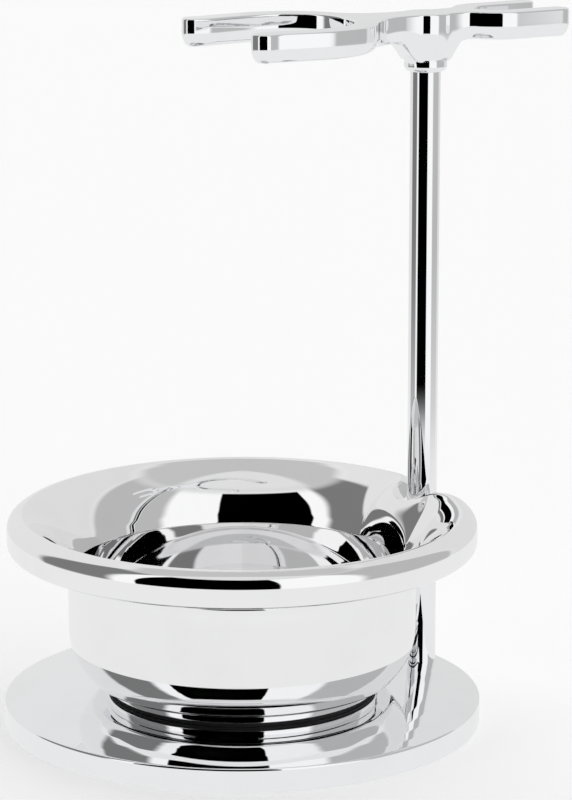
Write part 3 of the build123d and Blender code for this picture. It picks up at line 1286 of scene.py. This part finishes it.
    def build(self, chrome: bpy.types.Material) -> list[bpy.types.Object]:
        """Make the head's two skins.

        Args:
            chrome: The stand's chrome.

        Returns:
            The arms and the boss.
        """
        arms = finished_piece(self.build_arms(), "head_arms", Body.STAND, chrome, 0)
        boss = finished_piece(self.build_boss(), "head_boss", Body.STAND, chrome, 0)
        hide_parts("holder_head")
        return [arms, boss]


# ---------------------------------------------------------------- the studio


@dataclass(frozen=True)
class Panel:
    """A soft-edged panel of the studio's dome.

    Attributes:
        turn: Lowest and highest bearing, in degrees to the right of the camera's side.
        rise: Lowest and highest elevation, in degrees.
        level: Brightness of the panel.
        edge: Width of its soft edge, in degrees.
    """

    turn: tuple[float, float]
    rise: tuple[float, float]
    level: float
    edge: float = 2.0


@dataclass
class Studio:
    """A white dome with darker panels, a pale floor and the camera.

    Attributes:
        camera_place: Where the camera stands.
        camera_aim: The point that it looks at.
        lens: Focal length in millimetres.
        backdrop: Brightness that the camera sees behind the object.
        strength: Brightness of the dome's white.
        panels: The dome's panels, later ones over earlier ones.
    """

    camera_place: tuple[float, float, float] = (-0.3804, -0.7000, 0.2600)
    camera_aim: tuple[float, float, float] = (0.00881, -0.00493, 0.0757)
    lens: float = 161.5
    backdrop: float = 1.0
    strength: float = 1.0
    panels: Sequence[Panel] = (
        Panel((-200.0, 200.0), (61.0, 100.0), 0.56, 8.0),
        Panel((-70.0, 70.0), (61.0, 92.0), 0.78, 14.0),
        Panel((-200.0, -112.0), (-14.0, 61.0), 0.8, 8.0),
        Panel((-112.0, -66.0), (-14.0, 61.0), 0.2, 8.0),
        Panel((60.0, 120.0), (-14.0, 61.0), 0.5, 8.0),
        Panel((120.0, 200.0), (-14.0, 61.0), 0.75, 8.0),
        Panel((-52.0, 18.0), (-13.5, 59.0), 0.0, 1.5),
        Panel((-200.0, 200.0), (-100.0, -13.8), 0.86, 1.5),
    )

    def build_dome(self) -> bpy.types.World:
        """Build the world's light.

        Returns:
            The world.
        """
        world = bpy.data.worlds.new("studio_dome")
        bpy.context.scene.world = world
        world.use_nodes = True
        world.node_tree.nodes.clear()
        sheet = NodeSheet(world.node_tree)
        place = sheet.add("ShaderNodeTexCoord")
        split = sheet.add("ShaderNodeSeparateXYZ")
        sheet.join(place.outputs["Generated"], split.inputs["Vector"])
        bearing = math.atan2(self.camera_place[1], self.camera_place[0])
        east = sheet.math("MULTIPLY", split.outputs["X"], math.cos(bearing))
        north = sheet.math("MULTIPLY", split.outputs["Y"], math.sin(bearing))
        ahead = sheet.math("ADD", east, north)
        east = sheet.math("MULTIPLY", split.outputs["X"], -math.sin(bearing))
        north = sheet.math("MULTIPLY", split.outputs["Y"], math.cos(bearing))
        aside = sheet.math("ADD", east, north)
        turn = sheet.math("DEGREES", sheet.math("ARCTAN2", aside, ahead))
        rise = sheet.math("DEGREES", sheet.math("ARCSINE", split.outputs["Z"]))
        level: bpy.types.NodeSocket | float = 1.0
        for panel in self.panels:
            half = panel.edge / 2
            mask = sheet.smooth_step(turn, panel.turn[0] - half, panel.turn[0] + half)
            for value, start, end in (
                (turn, panel.turn[1] + half, panel.turn[1] - half),
                (rise, panel.rise[0] - half, panel.rise[0] + half),
                (rise, panel.rise[1] + half, panel.rise[1] - half),
            ):
                mask = sheet.math("MULTIPLY", mask, sheet.smooth_step(value, start, end))
            blend = sheet.add("ShaderNodeMix", data_type="FLOAT")
            sheet.join(mask, blend.inputs["Factor"])
            if isinstance(level, float):
                blend.inputs["A"].default_value = level
            else:
                sheet.join(level, blend.inputs["A"])
            blend.inputs["B"].default_value = panel.level
            level = blend.outputs["Result"]
        path = sheet.add("ShaderNodeLightPath")
        seen = sheet.add("ShaderNodeMix", data_type="FLOAT")
        sheet.join(path.outputs["Is Camera Ray"], seen.inputs["Factor"])
        sheet.join(level, seen.inputs["A"])
        seen.inputs["B"].default_value = self.backdrop / self.strength
        light = sheet.add("ShaderNodeBackground")
        sheet.join(seen.outputs["Result"], light.inputs["Color"])
        light.inputs["Strength"].default_value = self.strength
        output = sheet.add("ShaderNodeOutputWorld")
        sheet.join(light.outputs["Background"], output.inputs["Surface"])
        return world

    def build_floor(self) -> bpy.types.Object:
        """Lay the pale floor under the stand.

        Returns:
            The floor.
        """
        mesh = bmesh.new()
        bmesh.ops.create_circle(mesh, cap_ends=True, segments=96, radius=4.0)
        data = bpy.data.meshes.new("floor")
        mesh.to_mesh(data)
        mesh.free()
        material = bpy.data.materials.new("pale_floor")
        material.use_nodes = True
        shader = material.node_tree.nodes["Principled BSDF"]
        shader.inputs["Base Color"].default_value = (0.96, 0.96, 0.96, 1.0)
        shader.inputs["Roughness"].default_value = 0.9
        shader.inputs["Emission Color"].default_value = (1.0, 1.0, 1.0, 1.0)
        shader.inputs["Emission Strength"].default_value = 0.4
        data.materials.append(material)
        floor = bpy.data.objects.new("floor", data)
        bpy.context.scene.collection.objects.link(floor)
        floor.visible_glossy = False
        return floor

    def build_camera(self) -> bpy.types.Object:
        """Stand the camera in front of the stand.

        Returns:
            The camera.
        """
        data = bpy.data.cameras.new("camera")
        data.lens = self.lens
        camera = bpy.data.objects.new("camera", data)
        bpy.context.scene.collection.objects.link(camera)
        camera.location = self.camera_place
        sight = Vector(self.camera_aim) - Vector(self.camera_place)
        camera.rotation_mode = "QUATERNION"
        camera.rotation_quaternion = sight.to_track_quat("-Z", "Y")
        data.clip_start = 0.01
        data.clip_end = 50.0
        bpy.context.scene.camera = camera
        return camera

    def build(self) -> None:
        """Build the dome, the floor and the camera, with tones that are shown as they are."""
        bpy.context.scene.view_settings.view_transform = "Standard"
        self.build_dome()
        self.build_floor()
        self.build_camera()


# ---------------------------------------------------------------- carried-over parts


@dataclass
class HiddenParts:
    """The parts that keep their machined shape and only get their finish.

    Attributes:
        nodes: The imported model's objects by name.
    """

    nodes: dict[str, bpy.types.Object]

    def dress(self, name: str, material: bpy.types.Material) -> None:
        """Give one part its material.

        Args:
            name: The part's name.
            material: Its material.
        """
        part = self.nodes[name]
        if not part.material_slots:
            part.data.materials.append(material)
        for place in part.material_slots:
            place.material = material
        log.info("dressed %s in %s", name, material.name)

    def build(self, finishes: dict[str, bpy.types.Material]) -> None:
        """Dress every part that is kept.

        Args:
            finishes: The material for each part.
        """
        for name, material in finishes.items():
            self.dress(name, material)


def main() -> None:
    """Build the dressed stand in its studio."""
    logging.basicConfig(level=logging.INFO, format="%(message)s")
    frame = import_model()
    polished = ChromeFinish("polished_chrome").make()
    bowl_chrome = ChromeFinish("bowl_chrome", tint=(0.94, 0.94, 0.945)).make()
    plated = SteelFinish("plated_steel").make()
    pad = RubberFinish("pad_rubber").make()
    gasket = RubberFinish("gasket_rubber", tint=(0.012, 0.012, 0.013), grain_scale=2200.0).make()
    HiddenParts(frame["nodes"]).build(
        {
            "holder_head": polished,
            "head_stud": plated,
            "lock_washer": plated,
            "post_screw": plated,
            "base_pad": pad,
            "base_plate": polished,
            "post": polished,
            "bowl_shell": bowl_chrome,
            "bowl_foot_ring": bowl_chrome,
            "bowl_foot_gasket": gasket,
        }
    )
    BasePlate().build(polished)
    Post().build(polished)
    HolderHead().build(polished)
    BowlShell().build(bowl_chrome)
    BowlFoot().build(bowl_chrome, gasket)
    Studio().build()


if __name__ == "__main__":
    main()
